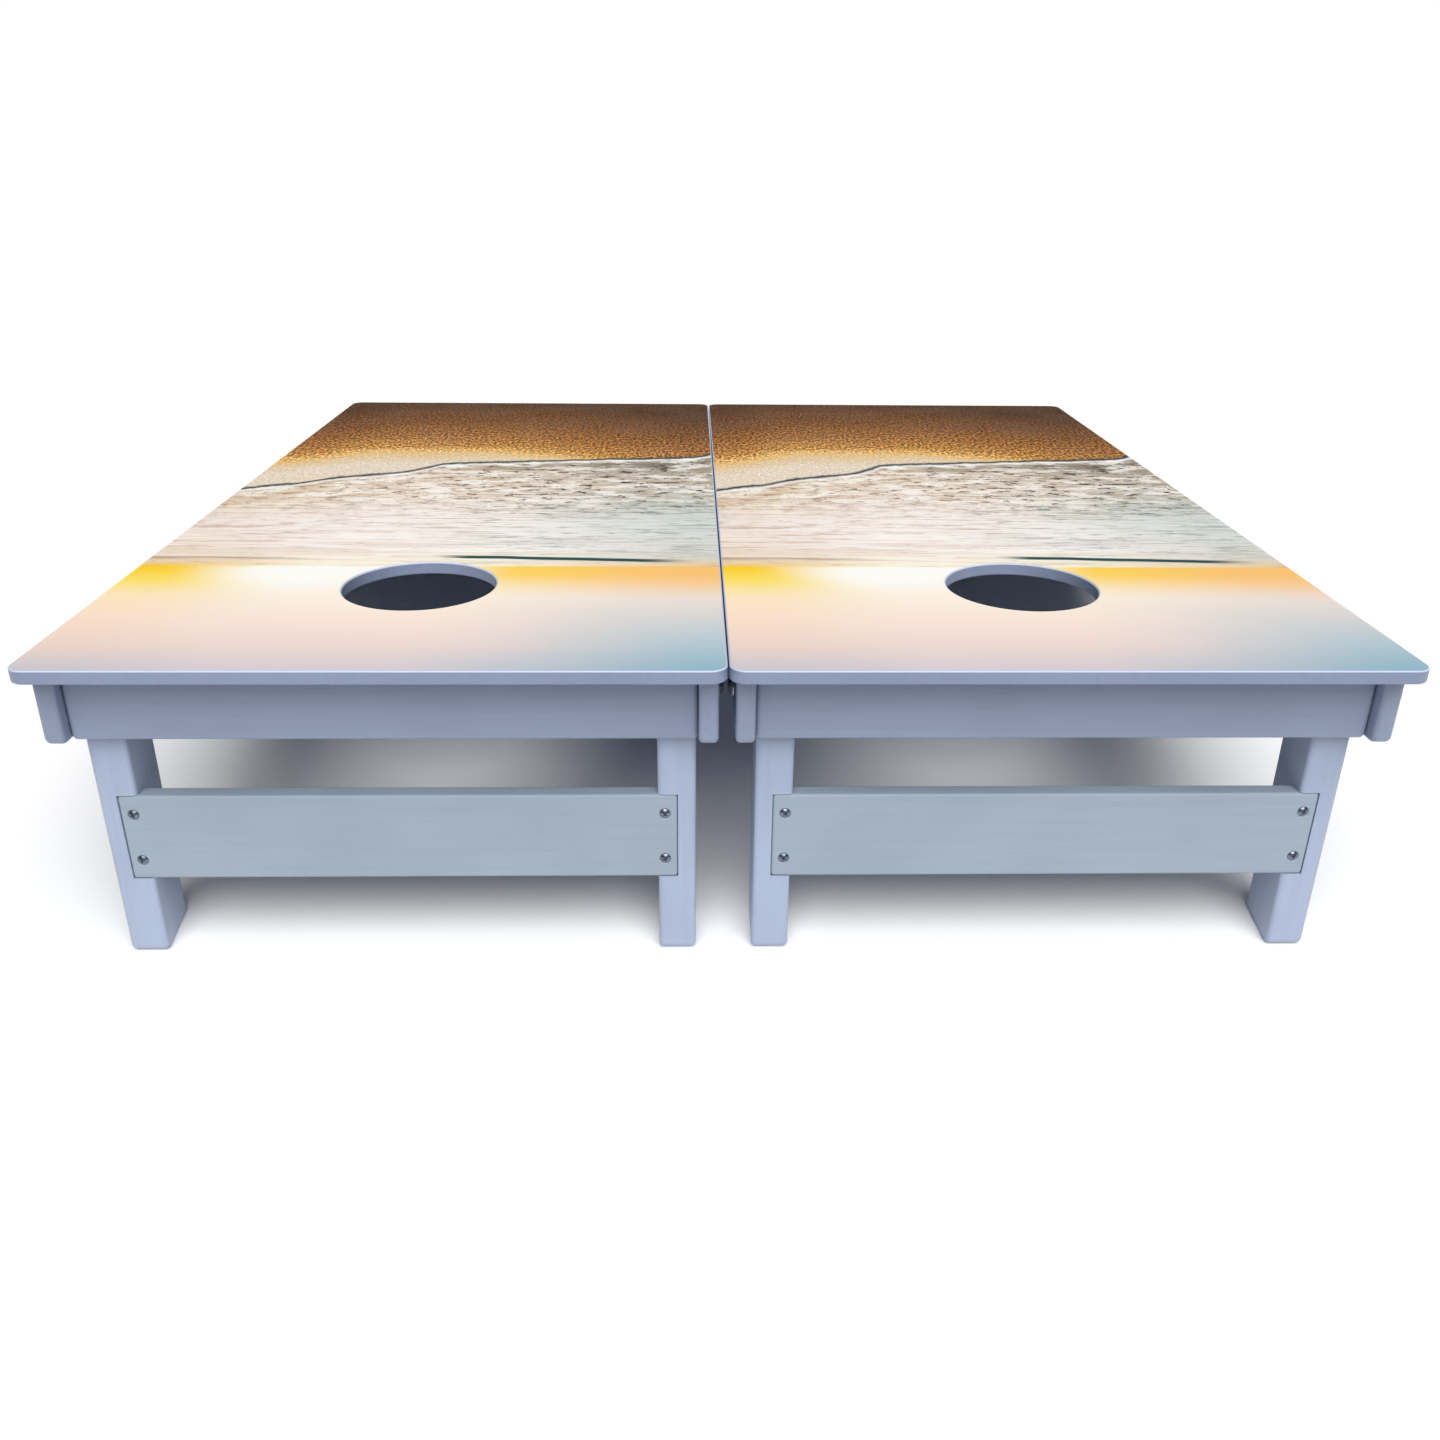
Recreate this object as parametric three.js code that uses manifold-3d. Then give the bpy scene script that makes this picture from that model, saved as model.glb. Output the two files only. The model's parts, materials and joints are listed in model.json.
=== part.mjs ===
// A pair of bean bag toss boards: printed playing decks on painted timber frames with folding legs.
// Millimetres. +Z is up, +Y runs from the hole ends down to the low ends, +X runs across the pair.
//
// Each board is drawn in its own deck frame, then tilted to stand on the ground: x across the board
// from its centre line, y along the deck from the hole end, z square to the deck from its top face.

import * as THREE from 'three';
import { mergeVertices } from 'three/addons/utils/BufferGeometryUtils.js';
import Module from 'manifold-3d';

const wasm = await Module();
wasm.setup();

// ---- Driving dimensions -------------------------------------------------------------------------

const fitGap = 0.3; // clearance kept between neighbouring solids, as a glue line or a running fit
const cornerEase = 0.6; // a timber end's corner radius over its edge radius
const overCut = 1; // cutting tools run this far past the face they cut
const roundSides = 16; // sides of a turned piece or a drilled hole
const samePoint = 0.01; // outline points nearer than this are one point

const boardGap = 1; // between the two decks
const backHeight = 328; // deck top above the ground at the hole end

const deckWidth = 609.6;
const deckLength = 1219.2;
const deckThickness = 12.7;
const deckCornerRadius = 16;
const deckEdgeRadius = 1.5;
const holeRadius = 76.2;
const holeFromEnd = 228.6; // hole centre from the hole end of the deck

const printThickness = 0.5;

const railThickness = 18;
const railHeight = 70;
const railNoseRadius = 8; // lower corners of the side rails
const railEdgeRadius = 4.5;
const sideOverhang = 7; // deck edge past the side rails
const endOverhang = 27; // deck edge past the ends of the side rails
const endRailRecess = 12; // end rails set back from the ends of the side rails
const braceHeight = 45;

const legWidth = 36;
const legDepth = 57;
const legEdgeRadius = 4.5;
const footCornerRadius = 6;

const crossbarThickness = 19;
const crossbarHeight = 89;
const crossbarBelowDeck = 149; // from the deck's top face to the crossbar's upper edge
const crossbarEndInset = 17.3; // from a leg's outer face to the crossbar's end
const crossbarEdgeRadius = 3;

const boltRadius = 4.76;
const boltHeadRadius = 11;
const boltHeadHeight = 5.5;
const boltTail = 3; // thread showing past the nut
const boltChamfer = 1; // at the end of the thread
const boltDomeShares = [0.98, 0.8, 0.45]; // radii of the domed head's rings, as shares of its own
const washerRadius = 12.5;
const washerThickness = 1.5;
const nutAcrossFlats = 14.3;
const nutHeight = 9;
const nutChamfer = 0.8;

const screwRadius = 2.1;
const screwHeadRadius = 4.8;
const screwHeadDepth = 3; // height of the countersunk cone
const screwDomeHeight = 1.3; // the head's crown above the crossbar's face
const screwDomeRings = [[0.6, 0.75], [0.9, 0.4]]; // shares of the crown's height and of its radius
const screwLength = 45; // below the crossbar's face
const countersinkRadius = 6; // its mouth, wider than the head
const screwFromEnd = 12; // from the crossbar's end
const screwFromEdge = 20; // from the crossbar's long edges

const frameScrewRadius = 2.1;
const frameScrewHeadRadius = 4.2;
const frameScrewHeadDepth = 3; // height of the countersunk cone
const frameScrewLength = 50;
const frameScrewFromEdge = 16; // from the rail's long edges

// ---- Places worked out from them ----------------------------------------------------------------

const halfWidth = deckWidth / 2;
const railTop = -deckThickness - fitGap;
const railBottom = railTop - railHeight;
const railOuterX = halfWidth - sideOverhang;
const railInnerX = railOuterX - railThickness;
const endRailLength = 2 * (railInnerX - fitGap);
const endRailNearY = endOverhang + endRailRecess;
const endRailFarY = deckLength - endOverhang - endRailRecess - railThickness;

// The far lower corners of the side rails stand on the ground, on their rounded noses.
const noseY = deckLength - endOverhang - railNoseRadius;
const noseBelow = -railBottom - railNoseRadius;
const noseDistance = Math.hypot(noseY, noseBelow);
const tilt = Math.asin((backHeight - railNoseRadius) / noseDistance) - Math.atan2(noseBelow, noseY);

// The legs stand square to the deck and bear on the inner face of the hole end's rail.
const legOuterX = railInnerX - washerThickness - 2 * fitGap;
const legInnerX = legOuterX - legWidth;
const legNearY = endRailNearY + railThickness + fitGap;
const legFarY = legNearY + legDepth;
const legTopRadius = legDepth / 2;
const pivotY = legNearY + legTopRadius;
const pivotZ = (railTop + railBottom) / 2;

const crossbarTopZ = -crossbarBelowDeck;
const crossbarBottomZ = crossbarTopZ - crossbarHeight;
const crossbarHalfLength = legOuterX - crossbarEndInset;

const innerWasherX = legInnerX - fitGap - washerThickness;
const nutX = innerWasherX - fitGap - nutHeight;
const boltEndX = nutX - boltTail;

// ---- Materials ----------------------------------------------------------------------------------

const paint = new THREE.MeshStandardMaterial({ color: 0xa9b4cc, roughness: 0.45, metalness: 0 });
const print = new THREE.MeshStandardMaterial({ color: 0xe8d3b4, roughness: 0.3, metalness: 0 });
const zinc = new THREE.MeshStandardMaterial({ color: 0xb4b8c0, roughness: 0.35, metalness: 1 });

// ---- Making solids ------------------------------------------------------------------------------

const axisX = new THREE.Vector3(1, 0, 0);
const axisY = new THREE.Vector3(0, 1, 0);
const axisZ = new THREE.Vector3(0, 0, 1);
const thickAlongX = new THREE.Matrix4().makeBasis(axisY, axisZ, axisX); // outline drawn in y, z
const thickAlongY = new THREE.Matrix4().makeBasis(axisZ, axisX, axisY); // outline drawn in z, x
const thickAlongZ = new THREE.Matrix4(); // outline drawn in x, y

// A closed outline from corners given anticlockwise as [u, v, fillet radius].
function filleted(corners, steps = 4) {
  const points = [];
  corners.forEach(([u, v, radius], i) => {
    const corner = new THREE.Vector2(u, v);
    const back = new THREE.Vector2(...corners.at(i - 1)).sub(corner).normalize();
    const ahead = new THREE.Vector2(...corners[(i + 1) % corners.length]).sub(corner).normalize();
    const half = Math.acos(back.dot(ahead)) / 2;
    const centre = back.clone().add(ahead).setLength(radius / Math.sin(half)).add(corner);
    const first = back.clone().multiplyScalar(radius / Math.tan(half)).add(corner).sub(centre).angle();
    for (let step = 0; step <= steps; step += 1) {
      const angle = first + ((Math.PI - 2 * half) * step) / steps;
      const point = new THREE.Vector2(Math.cos(angle), Math.sin(angle)).multiplyScalar(radius).add(centre);
      if (!points.length || point.distanceTo(points.at(-1)) > samePoint) points.push(point);
    }
  });
  if (points[0].distanceTo(points.at(-1)) < samePoint) points.pop();
  return points;
}

function rectangle(u0, v0, u1, v1, radius, steps) {
  return filleted([[u0, v0, radius], [u1, v0, radius], [u1, v1, radius], [u0, v1, radius]], steps);
}

// A board of timber: an outline with a thickness, starting at `from`, with its edges rounded over.
function board(outline, plane, from, thickness, edgeRadius, hole = null) {
  const shape = new THREE.Shape(outline);
  if (hole) shape.holes.push(new THREE.Path().absarc(hole.x, hole.y, hole.radius, 0, 2 * Math.PI));
  const geometry = new THREE.ExtrudeGeometry(shape, {
    depth: thickness - 2 * edgeRadius,
    bevelEnabled: edgeRadius > 0,
    bevelThickness: edgeRadius,
    bevelSize: edgeRadius,
    bevelOffset: -edgeRadius,
    bevelSegments: 2,
    curveSegments: 24,
  });
  return geometry.translate(0, 0, from + edgeRadius).applyMatrix4(plane);
}

// A turned piece on the +X axis, from a profile of [distance along x, radius] listed towards +X.
function turned(profile, x, y, z, sides = roundSides) {
  const points = profile.map(([along, radius]) => new THREE.Vector2(radius, -along));
  const geometry = new THREE.LatheGeometry(points.reverse(), sides);
  return geometry.rotateZ(Math.PI / 2).translate(x, y, z);
}

function toSolid(geometry) {
  const bare = geometry.clone();
  bare.deleteAttribute('normal');
  bare.deleteAttribute('uv');
  const merged = mergeVertices(bare, 1e-3);
  return new wasm.Manifold(new wasm.Mesh({
    numProp: 3,
    vertProperties: new Float32Array(merged.attributes.position.array),
    triVerts: new Uint32Array(merged.index.array),
  }));
}

function cut(geometry, ...tools) {
  const mesh = tools.reduce((solid, tool) => solid.subtract(toSolid(tool)), toSolid(geometry)).getMesh();
  const result = new THREE.BufferGeometry();
  result.setAttribute('position', new THREE.BufferAttribute(mesh.vertProperties, 3));
  result.setIndex(new THREE.BufferAttribute(mesh.triVerts, 1));
  result.computeVertexNormals();
  return result;
}

// A cutting rod for the pivot's hole through a piece, along x.
function pivotDrill(from, to) {
  const radius = boltRadius + fitGap;
  const rod = new THREE.CylinderGeometry(radius, radius, to - from + 2 * overCut, roundSides);
  return rod.rotateZ(-Math.PI / 2).translate((from + to) / 2, pivotY, pivotZ);
}

function mesh(name, geometry, material) {
  const piece = new THREE.Mesh(geometry, material);
  piece.name = name;
  return piece;
}

// A side of the board is -1 for the left and 1 for the right. Right-hand pieces are drawn and the
// left-hand ones are their mirror images.
function mirrored(geometry, side) {
  if (side > 0) return geometry;
  const flipped = geometry.index ? geometry.toNonIndexed() : geometry.clone();
  flipped.scale(-1, 1, 1);
  const { array } = flipped.attributes.position;
  for (let i = 0; i < array.length; i += 9) {
    for (let axis = 0; axis < 3; axis += 1) {
      [array[i + 3 + axis], array[i + 6 + axis]] = [array[i + 6 + axis], array[i + 3 + axis]];
    }
  }
  flipped.computeVertexNormals();
  return flipped;
}

// ---- The deck and its printed face --------------------------------------------------------------

const deckCornerSteps = 5;

function deck() {
  const outline = rectangle(-halfWidth, 0, halfWidth, deckLength, deckCornerRadius, deckCornerSteps);
  const hole = { x: 0, y: holeFromEnd, radius: holeRadius };
  return board(outline, thickAlongZ, -deckThickness, deckThickness, deckEdgeRadius, hole);
}

// The print ends where the deck's edges start to round over, at the rim and at the hole.
function printedSheet() {
  const inset = deckEdgeRadius;
  const radius = deckCornerRadius - inset;
  const right = halfWidth - inset;
  const outline = rectangle(-right, inset, right, deckLength - inset, radius, deckCornerSteps);
  const hole = { x: 0, y: holeFromEnd, radius: holeRadius + inset };
  return board(outline, thickAlongZ, fitGap, printThickness, 0, hole);
}

// ---- The frame ----------------------------------------------------------------------------------

const frameScrewYs = [endRailNearY + railThickness / 2, endRailFarY + railThickness / 2];
const frameScrewZs = [railTop - frameScrewFromEdge, railBottom + frameScrewFromEdge];
const frameScrewSides = 10;

function frameScrew(y, z) {
  const profile = [
    [-frameScrewLength, 0],
    [-frameScrewLength + 2 * frameScrewRadius, frameScrewRadius],
    [-frameScrewHeadDepth, frameScrewRadius],
    [-fitGap, frameScrewHeadRadius],
    [0, frameScrewHeadRadius],
    [0, 0],
  ];
  return turned(profile, railOuterX, y, z, frameScrewSides);
}

// The clearance hole and countersink for a frame screw, cut a little past the rail's outer face.
function frameScrewHole(y, z) {
  const wide = frameScrewHeadRadius + fitGap;
  const narrow = frameScrewRadius + fitGap;
  const profile = [
    [-frameScrewLength - fitGap, 0],
    [-frameScrewLength - fitGap, narrow],
    [-frameScrewHeadDepth - fitGap, narrow],
    [-2 * fitGap, wide],
    [overCut, wide],
    [overCut, 0],
  ];
  return turned(profile, railOuterX, y, z, frameScrewSides);
}

const frameScrewHoles = frameScrewYs.flatMap((y) => frameScrewZs.map((z) => frameScrewHole(y, z)));

function sideRail() {
  const outline = filleted([
    [endOverhang, railBottom, railNoseRadius],
    [deckLength - endOverhang, railBottom, railNoseRadius],
    [deckLength - endOverhang, railTop, railEdgeRadius + cornerEase],
    [endOverhang, railTop, railEdgeRadius + cornerEase],
  ]);
  const plank = board(outline, thickAlongX, railInnerX, railThickness, railEdgeRadius);
  return cut(plank, pivotDrill(railInnerX, railOuterX), ...frameScrewHoles);
}

function crossRail(y, bottom) {
  const half = endRailLength / 2;
  const outline = rectangle(bottom, -half, railTop, half, railEdgeRadius + cornerEase, 2);
  return board(outline, thickAlongY, y, railThickness, railEdgeRadius);
}

function endRail(y) {
  const leftHoles = frameScrewHoles.map((hole) => mirrored(hole, -1));
  return cut(crossRail(y, railBottom), ...frameScrewHoles, ...leftHoles);
}

function centreBrace() {
  return crossRail((deckLength - railThickness) / 2, railTop - braceHeight);
}

// ---- The leg pivots -----------------------------------------------------------------------------

// A carriage bolt: domed head outside the side rail, thread running in to the lock nut.
function pivotBolt() {
  const tail = boltEndX - railOuterX - fitGap;
  const dome = boltDomeShares.map((share) => [
    boltHeadHeight * Math.sqrt(1 - share * share),
    boltHeadRadius * share,
  ]);
  const profile = [
    [tail, 0],
    [tail, boltRadius - boltChamfer],
    [tail + boltChamfer, boltRadius],
    [0, boltRadius],
    [0, boltHeadRadius],
    ...dome,
    [boltHeadHeight, 0],
  ];
  return turned(profile, railOuterX + fitGap, pivotY, pivotZ);
}

function washer(x) {
  const bore = boltRadius + fitGap;
  const profile = [
    [0, bore],
    [0, washerRadius],
    [washerThickness, washerRadius],
    [washerThickness, bore],
    [0, bore],
  ];
  return turned(profile, x, pivotY, pivotZ);
}

function lockNut() {
  const corner = nutAcrossFlats / Math.sqrt(3);
  const hexagon = Array.from({ length: 6 }, (_, i) => {
    const angle = (i * Math.PI) / 3;
    return new THREE.Vector2(pivotY + corner * Math.cos(angle), pivotZ + corner * Math.sin(angle));
  });
  const block = board(hexagon, thickAlongX, nutX, nutHeight, nutChamfer);
  return cut(block, pivotDrill(nutX, nutX + nutHeight));
}

// ---- The folding legs ---------------------------------------------------------------------------

const screwPlaces = [crossbarTopZ - screwFromEdge, crossbarBottomZ + screwFromEdge].map((z) => ({
  x: crossbarHalfLength - screwFromEnd,
  z,
}));

// The ground's height in the deck frame, at a distance y along the deck.
function groundZ(y) {
  return (y * Math.sin(tilt) - backHeight) / Math.cos(tilt);
}

// A screw hole from the crossbar's face into the leg, with a countersink whose mouth stands open
// round the head.
const screwHoles = screwPlaces.map(({ x, z }) => {
  const narrow = screwRadius + fitGap;
  const seat = screwHeadRadius + fitGap;
  const mouthDepth = countersinkRadius - seat;
  const profile = [
    [-screwLength - fitGap, 0],
    [-screwLength - fitGap, narrow],
    [-screwHeadDepth - mouthDepth, narrow],
    [-mouthDepth, seat],
    [0, countersinkRadius],
    [overCut, countersinkRadius],
    [overCut, 0],
  ];
  return turned(profile, 0, 0, 0).rotateZ(-Math.PI / 2).translate(x, legNearY, z);
});

// A leg with a round top about its pivot, a foot cut to the ground, and a notch for the crossbar
// that stops short of the outer face.
function leg() {
  const outline = filleted([
    [legNearY, groundZ(legNearY), footCornerRadius],
    [legFarY, groundZ(legFarY), footCornerRadius],
    [legFarY, pivotZ + legTopRadius, legTopRadius],
    [legNearY, pivotZ + legTopRadius, legTopRadius],
  ]);
  const post = board(outline, thickAlongX, legInnerX, legWidth, legEdgeRadius);
  const notchX0 = legInnerX - overCut;
  const notchX1 = crossbarHalfLength + fitGap;
  const notchDepth = crossbarThickness + fitGap + overCut;
  const notchHeight = crossbarHeight + 2 * fitGap;
  const notch = new THREE.BoxGeometry(notchX1 - notchX0, notchDepth, notchHeight);
  notch.translate(
    (notchX0 + notchX1) / 2,
    legNearY - overCut + notchDepth / 2,
    (crossbarTopZ + crossbarBottomZ) / 2,
  );
  return cut(post, notch, pivotDrill(legInnerX, legOuterX), ...screwHoles);
}

// The crossbar lies in the legs' notches, flush with their faces at the hole end.
function crossbar() {
  const half = crossbarHalfLength;
  const corner = crossbarEdgeRadius + cornerEase;
  const outline = rectangle(crossbarBottomZ, -half, crossbarTopZ, half, corner, 3);
  const plank = board(outline, thickAlongY, legNearY, crossbarThickness, crossbarEdgeRadius);
  return cut(plank, ...screwHoles, ...screwHoles.map((hole) => mirrored(hole, -1)));
}

// A raised countersunk screw through the crossbar into the leg. Its rim lies level with the bottom
// of the countersink's mouth and its crown stands a little above the crossbar's face.
function crossbarScrew({ x, z }) {
  const rim = screwHeadRadius + 2 * fitGap - countersinkRadius;
  const crown = screwDomeHeight - rim;
  const profile = [
    [-screwLength, 0],
    [-screwLength + 2 * screwRadius, screwRadius],
    [rim - screwHeadDepth, screwRadius],
    [rim - fitGap, screwHeadRadius],
    [rim, screwHeadRadius],
    ...screwDomeRings.map(([up, out]) => [rim + up * crown, out * screwHeadRadius]),
    [screwDomeHeight, 0],
  ];
  return turned(profile, 0, 0, 0).rotateZ(-Math.PI / 2).translate(x, legNearY, z);
}

// ---- One board, and the pair --------------------------------------------------------------------

function tossBoard(name, centreX) {
  const group = new THREE.Group();
  const add = (part, geometry, material) => group.add(mesh(`${name}_${part}`, geometry, material));
  add('deck', deck(), paint);
  add('printed_sheet', printedSheet(), print);
  add('back_rail', endRail(endRailNearY), paint);
  add('front_rail', endRail(endRailFarY), paint);
  add('centre_brace', centreBrace(), paint);
  add('crossbar', crossbar(), paint);
  for (const [word, side] of [['left', -1], ['right', 1]]) {
    add(`${word}_rail`, mirrored(sideRail(), side), paint);
    add(`${word}_leg`, mirrored(leg(), side), paint);
    add(`${word}_pivot_bolt`, mirrored(pivotBolt(), side), zinc);
    add(`${word}_spacer_washer`, mirrored(washer(legOuterX + fitGap), side), zinc);
    add(`${word}_nut_washer`, mirrored(washer(innerWasherX), side), zinc);
    add(`${word}_lock_nut`, mirrored(lockNut(), side), zinc);
    screwPlaces.forEach((place, i) => {
      add(`${word}_${['upper', 'lower'][i]}_crossbar_screw`, mirrored(crossbarScrew(place), side), zinc);
    });
    frameScrewYs.forEach((y, i) => frameScrewZs.forEach((z, j) => {
      const place = `${word}_${['back', 'front'][i]}_${['upper', 'lower'][j]}`;
      add(`${place}_frame_screw`, mirrored(frameScrew(y, z), side), zinc);
    }));
  }
  group.rotation.x = -tilt;
  group.position.set(centreX, 0, backHeight);
  return group;
}

const spacing = deckWidth + boardGap;
const pair = new THREE.Group();
pair.add(tossBoard('board_1', -spacing / 2), tossBoard('board_2', spacing / 2));

// The origin is on the ground, in the middle of the pair.
pair.updateMatrixWorld(true);
const middle = new THREE.Box3().setFromObject(pair, true).getCenter(new THREE.Vector3());
pair.position.set(-middle.x, -middle.y, 0);

export default pair;
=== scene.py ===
# %% [markdown]
# # A pair of bean bag toss boards
# Two sloping playing boards stand side by side. Each has a plywood deck with a round hole and a printed
# beach, a painted timber frame under it, and a leg set that folds up inside the frame.
#
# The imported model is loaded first. It says where every part is and how it moves, so each piece made
# here takes its place from it and rides on one of its bodies.

# %% Load the frame
import json
import math
import random

import bpy
import numpy as np
from mathutils import Matrix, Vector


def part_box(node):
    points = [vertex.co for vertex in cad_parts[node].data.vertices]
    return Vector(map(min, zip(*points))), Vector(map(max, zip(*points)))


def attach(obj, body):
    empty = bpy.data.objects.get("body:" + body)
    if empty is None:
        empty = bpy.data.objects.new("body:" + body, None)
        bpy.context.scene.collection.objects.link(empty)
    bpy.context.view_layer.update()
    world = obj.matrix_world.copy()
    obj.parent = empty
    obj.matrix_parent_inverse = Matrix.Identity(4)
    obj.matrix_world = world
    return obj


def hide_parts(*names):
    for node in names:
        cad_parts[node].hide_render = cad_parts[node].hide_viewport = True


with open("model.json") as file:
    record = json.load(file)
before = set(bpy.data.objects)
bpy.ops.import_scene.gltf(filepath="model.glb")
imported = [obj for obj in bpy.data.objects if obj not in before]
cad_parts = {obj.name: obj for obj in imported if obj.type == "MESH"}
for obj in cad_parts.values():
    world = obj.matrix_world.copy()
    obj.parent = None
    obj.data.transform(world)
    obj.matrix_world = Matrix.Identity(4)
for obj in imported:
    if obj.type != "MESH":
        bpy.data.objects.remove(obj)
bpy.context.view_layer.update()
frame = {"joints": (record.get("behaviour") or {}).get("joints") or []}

# %% [markdown]
# ## Sizes
# Workshop sizes are given in millimetres and kept in metres. Everything is drawn in a board's own deck
# frame: x across from its centre line, y along the deck from the hole end, z square to the deck from
# its top face. A board is tilted until the low ends of its side rails touch the ground.

# %% Workshop sizes
MM = 0.001
FIT = 0.3 * MM  # clearance between neighbouring parts
BACK_HEIGHT = 328 * MM  # deck top above the ground at the hole end

DECK_WIDTH = 609.6 * MM
DECK_LENGTH = 1219.2 * MM
DECK_THICKNESS = 12.7 * MM
DECK_CORNER = 16 * MM
DECK_EDGE = 1.5 * MM
HOLE_RADIUS = 76.2 * MM
HOLE_FROM_END = 228.6 * MM

RAIL_THICKNESS = 18 * MM
RAIL_HEIGHT = 70 * MM
RAIL_NOSE = 8 * MM
RAIL_EDGE = 4.5 * MM
SIDE_OVERHANG = 7 * MM
END_OVERHANG = 27 * MM
END_RAIL_RECESS = 12 * MM
BRACE_HEIGHT = 45 * MM
CORNER_EASE = 0.6 * MM

LEG_WIDTH = 36 * MM
LEG_DEPTH = 57 * MM
LEG_EDGE = 4.5 * MM
FOOT_CORNER = 6.8 * MM
CROSSBAR_THICKNESS = 19 * MM
CROSSBAR_HEIGHT = 89 * MM
CROSSBAR_BELOW_DECK = 149 * MM
CROSSBAR_END_INSET = 17.3 * MM
CROSSBAR_EDGE = 3 * MM

BOLT_RADIUS = 4.76 * MM
BOLT_HEAD_RADIUS = 11 * MM
BOLT_HEAD_HEIGHT = 5.5 * MM
BOLT_TAIL = 3 * MM
WASHER_RADIUS = 12.5 * MM
WASHER_THICKNESS = 1.5 * MM
NUT_ACROSS_FLATS = 14.3 * MM
NUT_HEIGHT = 9 * MM

SCREW_RADIUS = 2.1 * MM  # every screw's shank
SCREW_HEAD_RADIUS = 4.8 * MM
SCREW_HEAD_DEPTH = 3 * MM
SCREW_DOME = 1.3 * MM
SCREW_LENGTH = 45 * MM
SCREW_FROM_END = 12 * MM
SCREW_FROM_EDGE = 20 * MM
COUNTERSINK_RADIUS = 6 * MM
FRAME_SCREW_HEAD_RADIUS = 4.2 * MM
FRAME_SCREW_LENGTH = 50 * MM
FRAME_SCREW_FROM_EDGE = 16 * MM

# %% Places worked out from them
half_width = DECK_WIDTH / 2
rail_top = -DECK_THICKNESS - FIT
rail_bottom = rail_top - RAIL_HEIGHT
rail_outer_x = half_width - SIDE_OVERHANG
rail_inner_x = rail_outer_x - RAIL_THICKNESS
end_rail_half = rail_inner_x - FIT
back_rail_y = END_OVERHANG + END_RAIL_RECESS
front_rail_y = DECK_LENGTH - END_OVERHANG - END_RAIL_RECESS - RAIL_THICKNESS

nose_y = DECK_LENGTH - END_OVERHANG - RAIL_NOSE
nose_below = -rail_bottom - RAIL_NOSE
tilt = math.asin((BACK_HEIGHT - RAIL_NOSE) / math.hypot(nose_y, nose_below)) - math.atan2(nose_below, nose_y)

leg_outer_x = rail_inner_x - WASHER_THICKNESS - 2 * FIT
leg_inner_x = leg_outer_x - LEG_WIDTH
leg_near_y = back_rail_y + RAIL_THICKNESS + FIT
leg_far_y = leg_near_y + LEG_DEPTH
pivot_y = leg_near_y + LEG_DEPTH / 2
pivot_z = (rail_top + rail_bottom) / 2
crossbar_top = -CROSSBAR_BELOW_DECK
crossbar_bottom = crossbar_top - CROSSBAR_HEIGHT
crossbar_half = leg_outer_x - CROSSBAR_END_INSET
print(f"tilt {math.degrees(tilt):.2f} degrees, legs {(leg_outer_x - leg_inner_x) / MM:.0f} mm wide")

# %% [markdown]
# ## From the deck frame to the model's frame
# Each board's leg hinge is stored with the model, in the model's frame. Its place in the deck frame is
# known too, so the two together say where the deck frame's origin lies.

# %% Place the boards
BOARDS = ("board_1", "board_2")
cosine, sine = math.cos(tilt), math.sin(tilt)
hinges = {joint["child"]: joint["pos_m"] for joint in frame["joints"] if joint["type"] == "hinge"}
board_x = {board: hinges[board + "_legs"][0] for board in BOARDS}
origin_y = hinges["board_1_legs"][1] - (pivot_y * cosine + pivot_z * sine)
origin_z = hinges["board_1_legs"][2] - (pivot_z * cosine - pivot_y * sine)


def to_model(points, board):
    """Deck frame to model frame: turned about x by the tilt, then moved to the board's origin."""
    x, y, z = np.asarray(points, float).T
    return np.stack([x + board_x[board],
                     y * cosine + z * sine + origin_y,
                     z * cosine - y * sine + origin_z], axis=1)


print(f"the hole ends stand {origin_z / MM:.1f} mm above the ground")

# %% [markdown]
# ## The camera
# It stands behind the hole ends, a little left of the middle, and looks down at the pair. It comes
# first because everything after it is judged through it.

# %% Camera
CAMERA_PLACE = (-0.0343, -1.4649, 0.9256)
CAMERA_DOWN = 36.59  # degrees below the horizon
CAMERA_RIGHT = 1.786  # degrees towards +x
CAMERA_ROLL = 1.008
CAMERA_LENS = 31.19  # mm, on the usual 36 mm sensor

camera = bpy.data.objects.new("camera", bpy.data.cameras.new("camera"))
camera.data.lens = CAMERA_LENS
turn = Matrix.Rotation(math.radians(-CAMERA_RIGHT), 4, "Z")
tip = Matrix.Rotation(math.radians(90 - CAMERA_DOWN), 4, "X")
roll = Matrix.Rotation(math.radians(CAMERA_ROLL), 4, "Z")
camera.matrix_world = Matrix.Translation(CAMERA_PLACE) @ turn @ tip @ roll
bpy.context.scene.collection.objects.link(camera)
bpy.context.scene.camera = camera
print("the camera stands at", CAMERA_PLACE)

# %% [markdown]
# ## Surfaces from formulas
# Nearly every part is one of three things: an outline cut from a board with its edges rounded over on a
# router, a sheet with a hole in it, or a turned piece. Each is a grid of points worked out as whole
# arrays, so an edge is as round as its number of steps.

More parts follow.
